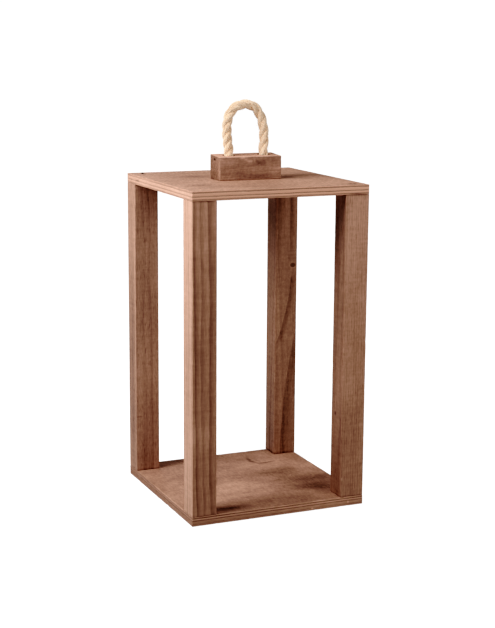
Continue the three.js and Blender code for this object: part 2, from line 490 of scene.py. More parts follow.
def timber(
    name, node, along, pith, ring, seed, tone, depth, lean=(0, 0), phase=0.0, wander=6.0, evenness=0.2,
    lines=0.6, mottled=0.35, flecks=0.0, sides=(0, 0, 0, 0), end_tone=0.2, tint=(1, 1, 1), knots=(),
    flames=(), spots=(),
):
    """Stained softwood: growth rings round a pith beside the piece, fibre streaks, blotches and worn arrises.

    along is the grain's axis, g; u and v are the two across it. pith is where the tree's middle lies along u
    and v from the piece's middle, and ring is one year's growth.
    A knot is (place along u, place along g, radius, sideways push), on the face that looks along v.
    A flame is the dark band beside a slanting ring there: (upper end, lower end, sag, width, tone change).
    A spot is (middle, size, tone change), from the piece's middle in X, Y, Z.
    The stain's colour is multiplied by tint on the front and back faces.
    """
    low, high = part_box(node)
    half = (high - low) / 2 / MM
    shader = Shader(name)
    place = shader.millimetres((low + high) / 2)
    axes = {"Z": (0, 1, 2), "X": (1, 2, 0)}[along]
    place_parts, facing = place.parts(), shader.normal().parts()
    u, v, g = (place_parts[axis] for axis in axes)
    facing_u, facing_v, facing_g = (facing[axis] for axis in axes)
    grain = shader.join(u, v, g)

    def noise_in(across, along_grain, offset, detail=2.0, rough=0.6, output="Fac"):
        """Noise drawn out along the grain."""
        return shader.noise(grain, (across, across, along_grain), seed + offset, detail, rough, output)

    slow = noise_in(0.028, 0.0065, 0, rough=0.5, output="Color")
    quick = noise_in(0.22, 0.022, 3, rough=0.5, output="Color")
    bent_u, bent_v, _ = (grain + (slow - 0.5) * wander + (quick - 0.5) * 1.1).parts()
    radius = shader.join(bent_u + g * lean[0] - pith[0], bent_v + g * lean[1] - pith[1], 0.0).length()
    radius, knot_core = grow_round_knots(shader, u, g, radius, knots)
    rings = growth_rings(shader, radius, ring, phase, evenness)

    streak = noise_in(0.55, 0.012, 5, 4.0, 0.62)
    fibre = noise_in(2.6, 0.05, 7, 3.0)
    dash = noise_in(1.0, 0.09, 9, 3.0, 0.7)
    blotch = noise_in(0.035, 0.016, 11, 3.0, 0.55)
    fleck = shader.span(noise_in(1.1, 0.13, 13), 0.54, 0.70)
    chatter = noise_in(0.05, 0.32, 15)
    pore = shader.noise(place, 1.7, seed + 17, 3.0, 0.6)
    rub = noise_in(0.5, 0.07, 19, 3.0)
    mottle = noise_in(0.42, 0.30, 21, 4.0, 0.68)

    end_grain = shader.span(abs(facing_g), 0.55, 0.9)
    to_arris = shader.most(half[axes[0]] - abs(u), half[axes[1]] - abs(v))
    worn = shader.span(to_arris, 0.95, 0.15) * shader.span(rub, 0.42, 0.66)

    tone_sum = shader.total(
        tone, (depth, rings, 0.3), (0.38, blotch, 0.5), (0.35 * lines, streak, 0.5), (0.42, dash, 0.5),
        (0.30 * lines, fibre, 0.5), (0.22, chatter, 0.5), (mottled, mottle, 0.5), (flecks, fleck),
        (end_tone, end_grain), (-0.16, worn), (0.5, end_grain * (pore - 0.5)),
    )
    # painted light and shade: each side face lighter or darker by how the lamps fall on it
    tone_sum += painted_face_shading(shader, facing_u, facing_v, sides)
    tone_sum += flame_tone(shader, bent_u, g, flames)
    tone_sum += shader.spots(place, spots)
    tone_sum = shader.most(tone_sum, knot_core * 0.86)
    colour = shader.mix(abs(facing[1]), wood_colour(shader, tone_sum), tint, "MULTIPLY")
    roughness = shader.total(0.60, (0.20, fibre, 0.5), (0.10, rings), (0.08, fleck))
    height = shader.total(0.0, (0.45, rings), (0.55, fibre), (-0.35, fleck), (0.25, streak))
    normal = shader.relief(height, 0.09 * MM, 0.55)
    return shader.coat(Base_Color=colour, Roughness=roughness, Normal=normal, Specular_IOR_Level=0.16)


def ply_layers(shader, place, plies, seed):
    """Up a panel's edge: whether each ply's grain runs along Y, each ply's tone, and the glue lines."""
    thickness = sum(ply for ply, _, _ in plies)
    waver = shader.noise(place, (0.05, 0.05, 0.0), seed)
    fine_waver = shader.noise(place, (0.9, 0.9, 0.3), seed + 2, 3.0, 0.65)
    height = place.parts()[2] + (waver - 0.5) * 0.5 + (fine_waver - 0.5) * 0.42
    crossings, tones, glue, level = [], [], [(0.0, 0.0)], 0.0
    for ply, crossing, change in plies:
        crossings.append((level / thickness, crossing))
        tones.append((level / thickness, 0.5 + change))
        if level:
            for offset, shown in ((-GLUE_WIDTH, 0.0), (0.0, 1.0), (GLUE_WIDTH, 0.0)):
                glue.append(((level + offset) / thickness, shown))
        level += ply
    share = height * (1 / thickness)
    tone = shader.level(share, tones, "CONSTANT") - 0.5
    return shader.level(share, crossings, "CONSTANT"), tone, shader.level(share, glue)


def curl_tone(shader, place, seed, curls):
    """The tone of curled figure in the veneer: arcs of a wavy ring, each shown inside a spot.

    A curl is (ring's middle, ring's radius, spot's middle, spot's size, tone change).
    """
    x, y, _ = place.parts()
    drift = shader.noise(place, (0.07, 0.07, 0.0), seed, output="Color")
    wavy = shader.join(x, y, 0.0) + drift * 9.0
    tone = 0.0
    for ring_middle, ring_radius, middle, size, change in curls:
        off_line = abs((wavy - ring_middle).length() - ring_radius)
        tone = shader.span(off_line, 3.2, 0.3) * shader.spot(place, middle, size) * change + tone
    return tone


def plywood(
    name, node, plies, seed, tone, edge_tones, patches, cloudiness, speckle=1.0, spots=(), curls=(),
):
    """Stained plywood: veneers that cross each other, with their glue lines along the panel's edges.

    edge_tones are the tones of the edges that look along X and along Y.
    """
    low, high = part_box(node)
    thickness = (high - low).z / MM
    half_x, half_y = (high - low).x / 2 / MM, (high - low).y / 2 / MM
    shader = Shader(name)
    place = shader.millimetres(((low.x + high.x) / 2, (low.y + high.y) / 2, low.z))
    x, y, z = place.parts()
    facing_x, facing_y, facing_z = abs(shader.normal()).parts()
    crossing, ply_tone, glue_line = ply_layers(shader, place, plies, seed)
    grain = shader.mix(crossing, shader.join(y, x, z), shader.join(x, y, z))

    swirl = shader.noise(grain, (0.021, 0.0085, 0.0), seed + 3, 2.5)
    ripple = shader.noise(grain, (0.2, 0.03, 0.0), seed + 4)
    rings = shader.level(shader.math("FRACT", ripple * 0.35 + swirl * 9.0), VENEER_YEAR, "B_SPLINE")
    streak = shader.noise(grain, (0.6, 0.02, 0.3), seed + 5, 4.0, 0.6)
    fibre = shader.noise(grain, (2.2, 0.10, 1.6), seed + 7, 3.0, 0.6)
    blotch = shader.noise(grain, (0.018, 0.012, 0.0), seed + 9, 3.0)
    cloud = shader.noise(grain, (0.07, 0.035, 0.0), seed + 10, 5.0, 0.68)
    speck = shader.noise(grain, (0.20, 0.45, 0.0), seed + 11, 4.0, 0.7)
    pore = shader.noise(place, 1.5, seed + 12, 3.0, 0.6)
    fleck = shader.span(shader.noise(grain, (1.1, 0.11, 1.0), seed + 14, 2.0, 0.6), 0.58, 0.74)
    rub = shader.noise(place, (0.16, 0.16, 0.3), seed + 16, 4.0, 0.65)
    smudge = shader.noise(place, (0.11, 0.11, 0.9), seed + 20, 3.0, 0.6)

    edge = shader.span(facing_z, 0.75, 0.45)
    end_grain = shader.span(facing_x * (1 - crossing) + facing_y * crossing, 0.5, 0.85)
    rough_end = end_grain * (pore - 0.5)
    to_side = shader.least(half_x - abs(x), half_y - abs(y))
    to_arris = shader.most(to_side, shader.least(z, thickness - z))
    worn = shader.span(to_arris, 0.9, 0.1) * shader.span(rub, 0.45, 0.62)

    face_sum = shader.total(
        tone, (0.05, rings, 0.3), (0.12, streak, 0.5), (0.16, fibre, 0.5), (patches, blotch, 0.5),
        (cloudiness, cloud, 0.5), (0.12, fleck), (speckle, speck, 0.5),
    )
    edge_sum = shader.total(
        edge_tones[0], (edge_tones[1] - edge_tones[0], facing_y), (1.0, ply_tone * (facing_y + 1.0)),
        (0.04, end_grain), (0.22, glue_line), (0.45, smudge, 0.5), (0.30, blotch, 0.5), (0.35, streak, 0.5),
        (0.30, fibre, 0.5), (0.25, rough_end),
    )
    tone_sum = shader.add("ShaderNodeMix", {0: edge, 2: face_sum, 3: edge_sum})
    tone_sum += worn * -0.18 + shader.spots(place, spots) + curl_tone(shader, place, seed + 18, curls)
    roughness = shader.total(0.64, (0.18, fibre, 0.5), (0.12, end_grain), (0.06, fleck))
    height = shader.total(0.0, (0.5, fibre), (0.3, streak), (-0.4, fleck), (0.3, end_grain * pore))
    colour, normal = wood_colour(shader, tone_sum), shader.relief(height, 0.08 * MM, 0.5)
    return shader.coat(Base_Color=colour, Roughness=roughness, Normal=normal, Specular_IOR_Level=0.16)


def rope_fibre(name, tint=1.0):
    """Natural rope: pale straw yarns with darker fibres, grime and painted shade in the grooves, painted
    light and shade over its sides, and a soft sheen.
    """
    shader = Shader(name)
    yarn_place = shader.attribute("yarn_space", "Vector")
    fibre = shader.noise(yarn_place, 1.0, 2.0, 4.0, 0.65)
    coarse = shader.noise(yarn_place, (0.35, 0.35, 0.5), 5.0, 3.0, 0.55)
    place = shader.millimetres((0, 0, 0))
    weathering = shader.noise(place, 0.06, 3.0, 3.0)
    tufts = shader.noise(place, 0.62, 7.0, 3.0, 0.6)
    groove = shader.span(shader.attribute("crown", "Fac"), 0.40, 0.0)
    from_middle = place.parts()[0]
    groove_dirt_and_shade = shader.span(from_middle, -14, 12, 0.0, 0.62)
    facing_x, _, facing_z = shader.normal().parts()
    # Painted light and shade: the upper and left sides, which face the lamps, are darkened and the right leg,
    # away from the key light, is lightened; the grooves darken towards the right with grime and painted
    # shade.
    tone = shader.total(
        0.14, (0.90, fibre, 0.5), (0.85, coarse, 0.5), (1.25, tufts, 0.5), (0.15, weathering, 0.5),
        (1.0, groove * groove_dirt_and_shade), (0.28, facing_z), (-0.15, facing_x), (-0.14, shader.span(from_middle, 2, 16)),
    )
    colour = shader.ramp(tone, [(at, tuple(tint * part for part in shade)) for at, shade in ROPE_TONES])
    return shader.coat(
        Base_Color=colour, Roughness=shader.total(0.80, (0.15, fibre, 0.5)), Diffuse_Roughness=1.0,
        Normal=shader.relief(fibre * 0.7 + coarse * 0.3, 0.30 * MM, 0.9), Specular_IOR_Level=0.12,
        Sheen_Weight=0.25, Sheen_Roughness=0.5,
    )


def driven_steel(name, colour_dark, colour_bright, roughness):
    """Steel with a fine drawn grain, darker spots and a little brown staining."""
    shader = Shader(name)
    place = shader.millimetres((0, 0, 0))
    darkness = shader.noise(place, 1.6, 4.0, 4.0, 0.6)
    scratches = shader.noise(place, (9.0, 2.0, 5.0), 6.0, 3.0, 0.7)
    stain = shader.span(shader.noise(place, 0.9, 9.0, 3.0), 0.52, 0.66)
    metal = shader.mix(shader.span(darkness, 0.3, 0.7), colour_bright, colour_dark)
    colour = shader.mix(stain * 0.55, metal, (0.13, 0.055, 0.025))
    rough = shader.total(roughness, (0.35, scratches, 0.5), (0.25, stain))
    normal = shader.relief(scratches, 0.03 * MM, 0.5)
    return shader.coat(Base_Color=colour, Roughness=rough, Normal=normal, Metallic=0.9)


# ---------------------------------------------------------------- mesh building

def add_piece(name, mesh, material, nodes=(), body=ROOT, sharp=38):
    mesh.materials.clear()
    mesh.materials.append(material)
    mesh.polygons.foreach_set("use_smooth", [True] * len(mesh.polygons))
    mesh.set_sharp_from_angle(angle=math.radians(sharp))
    made = bpy.data.objects.new(name, mesh)
    bpy.context.scene.collection.objects.link(made)
    if nodes:
        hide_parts(*nodes)
    if body:
        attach(made, body)
    return made


def make_mesh(name, points, faces):
    """A mesh whose faces all look outwards."""
    mesh = bpy.data.meshes.new(name)
    mesh.from_pydata([tuple(p) for p in points], [], [tuple(f) for f in faces])
    loose = bmesh.new()
    loose.from_mesh(mesh)
    bmesh.ops.recalc_face_normals(loose, faces=loose.faces)
    loose.to_mesh(mesh)
    loose.free()
    return mesh


def unit(vectors):
    return vectors / np.linalg.norm(vectors, axis=1)[:, None]


def run_along(line):
    """How far along a line each of its points is."""
    return np.concatenate([[0], np.cumsum(np.linalg.norm(np.diff(line, axis=0), axis=1))])


def noise_at(points, scale, seed):
    """Smooth noise from -1 to 1 at each point; scale is waves per metre along X, Y and Z."""
    spots = points * np.array(scale) + np.array((seed, seed * 1.3, -seed))
    return np.array([noise.noise(Vector(spot)) for spot in spots])


def grid_lines(low, high, rounding, step, between=()):
    """Places along one axis: close together over the arrises, and between them as given or a step apart."""
    arc = [rounding * (1 - math.tan(math.radians(45 * (1 - k / 4)))) for k in range(5)]
    skirt = [rounding + 0.12 * MM, rounding + 0.45 * MM, rounding + 1.0 * MM]
    lines = [low + s for s in arc + skirt] + [high - s for s in arc + skirt]
    first, last = low + rounding + 1.8 * MM, high - rounding - 1.8 * MM
    count = max(1, round((last - first) / step))
    lines += [low + s for s in between] or [first + (last - first) * k / count for k in range(count + 1)]
    kept = []
    for line in sorted(lines):
        if not kept or line - kept[-1] > CLOSEST_LINES:
            kept.append(line)
    kept[-1] = high
    return kept


def grid_surface(lines):
    """Points and quads of a box's surface, on the given lines along X, Y and Z."""
    index, faces = {}, []
    for axis in range(3):
        u, v = (axis + 1) % 3, (axis + 2) % 3
        ends = (0, len(lines[axis]) - 1)
        for end, a, b in itertools.product(ends, range(len(lines[u]) - 1), range(len(lines[v]) - 1)):
            quad = []
            for da, db in ((0, 0), (1, 0), (1, 1), (0, 1)):
                spot = [0, 0, 0]
                spot[axis], spot[u], spot[v] = end, a + da, b + db
                quad.append(index.setdefault(tuple(spot), len(index)))
            faces.append(quad if end else quad[::-1])
    return np.array([[lines[axis][spot[axis]] for axis in range(3)] for spot in index]), faces


def random_nicks(low, high, count, depth, source):
    """Small bruises along the arrises: (middle, size, depth) each, more of them on the longer arrises."""
    nicks = []
    size = high - low
    for _ in range(count):
        axis = source.choices(range(3), weights=[s * s for s in size])[0]
        middle = [source.choice((low[k], high[k])) for k in range(3)]
        middle[axis] = source.uniform(low[axis], high[axis])
        reach = [2.2 * MM] * 3
        reach[axis] = source.uniform(0.5, 2.6) * MM
        nicks.append((np.array(middle), np.array(reach), source.uniform(0.25, 1.0) * depth))
    return nicks


def worn_block(node, grain, sawn, seed, extra_nicks=(), z_lines=(), relief=None):
    """The points and faces of a sawn piece: softened, uneven arrises with nicks, and faintly wavy faces."""
    low, high = (np.array(corner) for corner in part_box(node))
    between = ((), (), z_lines)
    lines = [grid_lines(low[k], high[k], sawn.rounding, sawn.step[k], between[k]) for k in range(3)]
    points, faces = grid_surface(lines)
    radius = sawn.rounding * (1 + 0.35 * noise_at(points, (160, 160, 160), seed))
    nicks = random_nicks(low, high, sawn.nicks, sawn.nick_depth, random.Random(seed))
    for middle, reach, bite in nicks + list(extra_nicks):
        radius += bite * np.exp(-(((points - middle) / reach) ** 2).sum(axis=1))
    radius = np.minimum(radius, (high - low).min() * 0.3)[:, None]
    inner = np.clip(points, low + radius, high - radius)
    outward = unit(points - inner)
    points = inner + outward * radius
    stretch = np.full(3, 55.0)
    stretch[grain] = 9.0
    wave = 0.05 * MM * (noise_at(points, stretch, seed + 5) - 0.6)
    points += outward * wave[:, None]
    if relief:
        points += outward * relief(points, outward, low)[:, None]
    return points, faces


def ring(radius, height, sides):
    """Points round the Z axis."""
    turns = [2 * math.pi * k / sides for k in range(sides)]
    return [(radius * math.cos(turn), radius * math.sin(turn), height) for turn in turns]


def turned(profile, sides=28, wobble=0.0, seed=0):
    """Points and faces of a closed turned solid; its profile is (radius, distance along the axis)."""
    source = random.Random(seed)
    points, faces, rings = [], [], []
    for radius, along in profile:
        if radius == 0:
            rings.append([len(points)])
            points.append((0, 0, along))
            continue
        rings.append(range(len(points), len(points) + sides))
        for x, y, _ in ring(1, along, sides):
            uneven = radius * (1 + wobble * source.uniform(-1, 1))
            points.append((uneven * x, uneven * y, along))
    for first, second in zip(rings, rings[1:]):
        for k in range(sides):
            around = ((first, k), (first, k + 1), (second, k + 1), (second, k))
            faces.append(list(dict.fromkeys(row[at % len(row)] for row, at in around)))
    return np.array(points), faces


def tube_faces(first, rows, around):
    """The quads between a tube's rings of points, the first of which has index first, and its closed ends."""
    faces = []
    for row in range(rows - 1):
        here, above = first + row * around, first + (row + 1) * around
        for k in range(around):
            after = (k + 1) % around
            faces.append((here + k, here + after, above + after, above + k))
    last = first + (rows - 1) * around
    faces.append(tuple(range(first, first + around))[::-1])
    faces.append(tuple(range(last, last + around)))
    return faces


def placed(shape, origin, direction):
    """A turned shape moved so that its axis runs from the origin along a direction."""
    points, faces = shape
    turn = np.array(Vector(direction).to_track_quat("Z", "Y").to_matrix())
    return points @ turn.T + np.array(origin), faces


def joined(shapes):
    """Several shapes as one list of points and faces."""
    points, faces, count = [], [], 0
    for some_points, some_faces in shapes:
        points.append(some_points)
        faces += [[p + count for p in face] for face in some_faces]
        count += len(some_points)
    return np.concatenate(points), faces


def cut(mesh, shapes):
    """The mesh with the shapes cut away."""
    target = bpy.data.objects.new("cut_target", mesh)
    cutter = bpy.data.objects.new("cutter", make_mesh("cutter", *joined(shapes)))
    for thing in (target, cutter):
        bpy.context.scene.collection.objects.link(thing)
    modifier = target.modifiers.new("cut", "BOOLEAN")
    modifier.operation = "DIFFERENCE"
    modifier.solver = "MANIFOLD"
    modifier.object = cutter
    graph = bpy.context.evaluated_depsgraph_get()
    result = bpy.data.meshes.new_from_object(target.evaluated_get(graph))
    for thing in (target, cutter):
        bpy.data.objects.remove(thing)
    return result


# ---------------------------------------------------------------- fasteners

def fastener_place(node):
    """Where a fastener starts, which way it goes in, its length and its head's radius, from its CAD node."""
    low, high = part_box(node)
    size = high - low
    axis = max(range(3), key=lambda k: size[k])
    start = (low + high) / 2
    goes_up = "screw" in node or start[axis] < (CAD_BOX[0] + CAD_BOX[1])[axis] / 2
    start[axis] = low[axis] if goes_up else high[axis]
    inwards = Vector((0, 0, 0))
    inwards[axis] = 1 if goes_up else -1
    return start, inwards, size[axis], min(size[k] for k in range(3) if k != axis) / 2


def nail_profile(length, head, nail):
    """A flat-headed wire nail with a shallow dished head and a drawn point."""
    shank, height, tip = nail.shank, nail.height, nail.tip
    return [
        (0, 0.10 * MM), (0.45 * head, 0.07 * MM), (0.80 * head, 0.0), (0.96 * head, 0.06 * MM),
        (head, 0.22 * MM), (head, 0.5 * MM), (0.94 * head, 0.62 * MM), (shank * 1.2, height),
        (shank, height + 0.5 * MM), (shank, length * 0.5), (shank, length - tip),
        (shank * 0.55, length - tip * 0.45), (0, length),
    ]


def nail_hole(node, nail):
    """The hole that a nail leaves: a crushed mouth, room for the head and the shank's own bore."""
    start, inwards, length, head = fastener_place(node)
    mouth, room, bore = head + 0.42 * MM, head + NAIL_CLEARANCE, nail.shank + NAIL_CLEARANCE
    profile = [
        (0, -1 * MM), (mouth, -1 * MM), (mouth, -0.02 * MM), (head + 0.16 * MM, nail.sunk * 0.7),
        (room, nail.sunk + 0.2 * MM), (room, nail.sunk + nail.height + 0.1 * MM),
        (bore, nail.sunk + nail.height + 0.2 * MM), (bore, nail.sunk + length + 0.1 * MM),
        (0, nail.sunk + length + 0.3 * MM),
    ]
    return placed(turned(profile, 26, 0.03, len(node)), start - inwards * nail.sunk, inwards)


def add_nail(node, material, nail, seed):
    start, inwards, length, head = fastener_place(node)
    shape = turned(nail_profile(length, head, nail), 28, 0.02, seed)
    mesh = make_mesh(node, *placed(shape, start - inwards * PROUD_NAIL.get(node, 0.0), inwards))
    add_piece(node + "_steel", mesh, material, [node], sharp=30)


def screw_hole(node):
    start, inwards, length, head = fastener_place(node)
    mouth, bore = head + 0.15 * MM, SCREW_CORE + 0.7 * MM
    profile = [
        (0, -1 * MM), (mouth, -1 * MM), (mouth, SCREW_SUNK + 0.3 * MM),
        (bore, SCREW_SUNK + SCREW_HEAD_HEIGHT + 0.2 * MM), (bore, SCREW_SUNK + length + 0.2 * MM),
        (0, SCREW_SUNK + length + 0.4 * MM),
    ]
    return placed(turned(profile, 26), start - inwards * SCREW_SUNK, inwards)


def screw_shape(length, head):
    """A countersunk wood screw with a cross recess and a running thread, as points and faces."""
    around, steps, lip = 40, 150, 0.3 * MM
    turns = [2 * math.pi * k / around for k in range(around)]
    points = []
    for share, drop in ((0.0, 0.0), (0.35, 0.0), (0.7, 0.0), (0.95, 0.0), (1.0, 0.25 * MM)):
        radius = head * max(share, 0.02)
        for turn in turns:
            recess = 1.3 * MM * math.cos(2 * turn) ** 12 * max(0.0, 1 - share / 0.62)
            points.append((radius * math.cos(turn), radius * math.sin(turn), drop + recess))
    for row in range(steps + 1):
        along = lip + (length - lip) * row / steps
        cone = head + (SCREW_CORE - head) * min(1.0, (along - lip) / (SCREW_HEAD_HEIGHT - lip))
        taper = min(1.0, (length - along) / (4 * MM)) ** 0.7
        threaded = along >= SCREW_HEAD_HEIGHT + 3 * MM
        for k, turn in enumerate(turns):
            wave = (along / SCREW_PITCH - k / around) % 1.0
            thread = threaded * THREAD_HEIGHT * max(0.0, 1 - abs(wave - 0.5) / 0.28)
            radius = max((cone + thread) * taper, 0.05 * MM)
            points.append((radius * math.cos(turn), radius * math.sin(turn), along))
    return np.array(points), tube_faces(0, len(points) // around, around)


def add_fasteners():
    dark = driven_steel("nail_dark_steel", (0.045, 0.032, 0.025), (0.12, 0.09, 0.075), 0.55)
    zinc = driven_steel("screw_zinc", (0.38, 0.36, 0.31), (0.62, 0.60, 0.55), 0.34)
    for seed, corner in enumerate(CORNERS):
        add_nail("top_nail_" + corner, dark, PANEL_NAIL, seed)
        add_nail("base_nail_" + corner, dark, PANEL_NAIL, seed + 10)
    for seed, side in enumerate(SIDES):
        add_nail("rope_pin_" + side, dark, ROPE_PIN, seed + 20)
        node = "block_screw_" + side
        start, inwards, length, head = fastener_place(node)
        mesh = make_mesh(node, *placed(screw_shape(length, head), start, inwards))
        add_piece(node + "_steel", mesh, zinc, [node], sharp=40)


# ---------------------------------------------------------------- the rope

def rope_centreline():
    """Points along the rope, from the bottom of its left hole to the bottom of its right one."""
    ends = [(-ROPE_FOOT, -ROPE_END_DEPTH), (-ROPE_FOOT, -ROPE_END_DEPTH / 2), (-ROPE_FOOT, -2)]
    flat = ends + ROPE_ROUTE + [(-x, z) for x, z in reversed(ends)]
    knots = np.array([(x * MM, 0, z * MM) for x, z in flat])
    padded = np.concatenate([[2 * knots[0] - knots[1]], knots, [2 * knots[-1] - knots[-2]]])
    dense = []
    for a, b, c, d in zip(padded, padded[1:], padded[2:], padded[3:]):
        for t in np.linspace(0, 1, 40, endpoint=False):
            bend = (2 * a - 5 * b + 4 * c - d) * t**2 + (3 * b - a - 3 * c + d) * t**3
            dense.append(0.5 * (2 * b + (c - a) * t + bend))
    dense = np.array(dense + [knots[-1]]) + np.array((BLOCK_MIDDLE.x, BLOCK_MIDDLE.y, BLOCK_HIGH.z))
    run = run_along(dense)
    places = np.linspace(0, run[-1], int(round(run[-1] / ROPE_STEP)) + 1)
    return np.array([np.interp(places, run, dense[:, k]) for k in range(3)]).T, places


def strand_path(line, places, strand):
    """A strand's middle, and the direction away from the rope's middle, along the rope."""
    side = np.tile((0.0, 1.0, 0.0), (len(line), 1))
    across = np.cross(side, unit(np.gradient(line, axis=0)))
    slackening = (ROPE_LAY_RIGHT - ROPE_LAY_LEFT) / places[-1]
    turns = np.log1p(places * slackening / ROPE_LAY_LEFT) / slackening
    turn = 2 * math.pi * (turns + strand / STRANDS) + ROPE_TWIST
    outward = np.cos(turn)[:, None] * across + np.sin(turn)[:, None] * side
    slow = 0.05 * np.sin(places / (11 * MM) + 2.1 * strand)
    quick = 0.03 * np.sin(places / (4.3 * MM) + strand)
    return line + outward * (STRAND_OFFSET * (1 + slow + quick))[:, None], outward


def rope_shape(line, places, around=56):
    """Points, faces, and for each point its place along the yarns and its height out of the grooves."""
    points, faces, yarn_space, crown = [], [], [], []
    for strand in range(STRANDS):
        middle, outward = strand_path(line, places, strand)
        tangent = unit(np.gradient(middle, axis=0))
        outward = unit(outward - (outward * tangent).sum(axis=1)[:, None] * tangent)
        side = np.cross(tangent, outward)
        faces += tube_faces(len(points), len(middle), around)
        for row, run in enumerate(run_along(middle)):
            for k in range(around):
                angle = 2 * math.pi * k / around
                yarn_angle = angle + 2 * math.pi * run / YARN_TURN
                yarn_x, yarn_y = math.cos(yarn_angle), math.sin(yarn_angle)
                wave = noise.noise(Vector((3 * yarn_x, 3 * yarn_y, run * 160 + 9 * strand)))
                fine = noise.noise(Vector((9 * yarn_x, 9 * yarn_y, run * 420 + 5 * strand)))
                lobe = abs(math.cos(0.5 * YARNS * yarn_angle + 0.5 * wave)) ** 0.6
                radius = STRAND_RADIUS * (0.955 + 0.06 * lobe + 0.035 * wave + 0.02 * fine)
                away = math.cos(angle) * outward[row] + math.sin(angle) * side[row]
                point = middle[row] + radius * away
                distance = np.linalg.norm(point - line[row]) / (ROPE_DIAMETER / 2)
                points.append(point)
                yarn_space.append((4.8 * yarn_x + 11 * strand, 4.8 * yarn_y, run / MM * 0.16))
                crown.append(min(1.0, max(0.0, (distance - 0.45) / 0.55)) * (0.7 + 0.3 * lobe))
    return points, faces, yarn_space, crown


def fibre_shape(line, count, steps=6):
    """Loose fibres that stand off the rope: thin three-sided hairs with closed ends."""
    source = random.Random(41)
    tangent = unit(np.gradient(line, axis=0))
    side = np.array((0.0, 1.0, 0.0))
    lowest = BLOCK_HIGH.z + 2.5 * MM
    choices = [row for row in range(len(line)) if line[row][2] > lowest]
    points, faces, yarn_space = [], [], []
    for hair in range(count):
        row = source.choice(choices)
        turn = source.uniform(0, 2 * math.pi)
        away = math.cos(turn) * np.cross(side, tangent[row]) + math.sin(turn) * side
        round_way = np.cross(tangent[row], away)
        start = line[row] + away * (ROPE_DIAMETER / 2 - 0.55 * MM)
        length = source.uniform(1.2, 4.6) * MM
        slant = source.uniform(-0.5, 1.0)
        heading = tangent[row] * source.choice((-1, 1)) + round_way * slant * 0.6
        heading /= np.linalg.norm(heading)
        lift = source.uniform(0.15, 0.62)
        curl = source.uniform(-0.5, 0.5)
        thick = source.uniform(0.03, 0.065) * MM
        faces += tube_faces(len(points), steps + 1, 3)
        for step in range(steps + 1):
            share = step / steps
            bend = away * lift * share**1.5 + round_way * curl * share**2
            middle = start + length * (heading * share + bend)
            taper = thick * (1 - 0.6 * share)
            for k in range(3):
                angle = 2 * math.pi * k / 3
                points.append(middle + taper * (math.cos(angle) * away + math.sin(angle) * round_way))
                yarn_space.append((hair * 0.7, 0.0, share))
    return points, faces, yarn_space, np.ones(len(points))


def yarn_mesh(name, points, faces, yarn_space, crown):
    """A mesh that carries what the rope's material reads: the place along the yarns and the crown."""
    mesh = make_mesh(name, points, faces)
    for key, kind, field, values in (
        ("yarn_space", "FLOAT_VECTOR", "vector", np.ravel(yarn_space)),
        ("crown", "FLOAT", "value", crown),
    ):
        mesh.attributes.new(key, kind, "POINT").data.foreach_set(field, values)
    return mesh


def add_rope():
    """The laid rope from hole to hole, with its loose fibres."""
    line, places = rope_centreline()
    mesh = yarn_mesh("rope", *rope_shape(line, places))
    nodes = ["rope_loop", "rope_end_left", "rope_end_right"]
    rope = add_piece("rope", mesh, rope_fibre("rope_yarn"), nodes, body=None, sharp=75)
    hairs = yarn_mesh("rope_fibres", *fibre_shape(line, LOOSE_FIBRES))
    fibres = add_piece("rope_fibres", hairs, rope_fibre("rope_hair", 1.05), body=None, sharp=180)
    for piece in (rope, fibres):
        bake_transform(piece)


# ---------------------------------------------------------------- the wooden parts

def spots_on(face, reach, *rows):
    """Spots on a face that go a reach into the piece: (place, place, size, size, tone change) each.

    The places and sizes are along the face's own two axes, in the order X, Y, Z.
    """
    (axis, at), spots = face, []
    for first, second, first_size, second_size, change in rows:
        middle, size = [first, second], [first_size, second_size]
        middle.insert(axis, at)
        size.insert(axis, reach)
        spots.append((middle, size, change))
    return spots


def ply_heights(plies):
    """Grid lines up a panel's edge: three across each glue line and two within each ply."""
    heights, level = [], 0.0
    for ply, _, _ in plies:
        heights += [level + ply * 0.33, level + ply * 0.67]
        level += ply
        heights += [level - 0.17, level, level + 0.17]
    return tuple(h * MM for h in heights if 0.4 < h < level - 0.4)


def ply_relief(plies, points, outward, low):
    """How far each point of a panel's edge stands back, at the glue lines and where end grain tore out."""
    heights = (points[:, 2] - low[2]) / MM
    edge = np.clip((np.hypot(outward[:, 0], outward[:, 1]) - 0.7) / 0.3, 0, 1)
    on_x_side = np.abs(outward[:, 0]) > np.abs(outward[:, 1])
    ragged = np.maximum(0, noise_at(points, (900, 900, 1500), 3))
    gaps = np.maximum(0, noise_at(points, (60, 60, 0), 8))
    back, level = np.zeros(len(points)), 0.0
    for number, (ply, crossing, _) in enumerate(plies, 1):
        inside = (heights > level) & (heights < level + ply)
        back -= (inside & (on_x_side != bool(crossing))) * (0.06 + 0.10 * ragged) * MM
        level += ply
        if number < len(plies):
            back -= np.exp(-(((heights - level) / 0.16) ** 2)) * (0.09 + 0.09 * gaps) * MM
    return back * edge


def add_panel(node, plies, holes, seed, material):
    relief = functools.partial(ply_relief, plies)
    shape = worn_block(node, 0, PANEL, seed, z_lines=ply_heights(plies), relief=relief)
    add_piece(node + "_ply", cut(make_mesh(node, *shape), holes), material, [node])


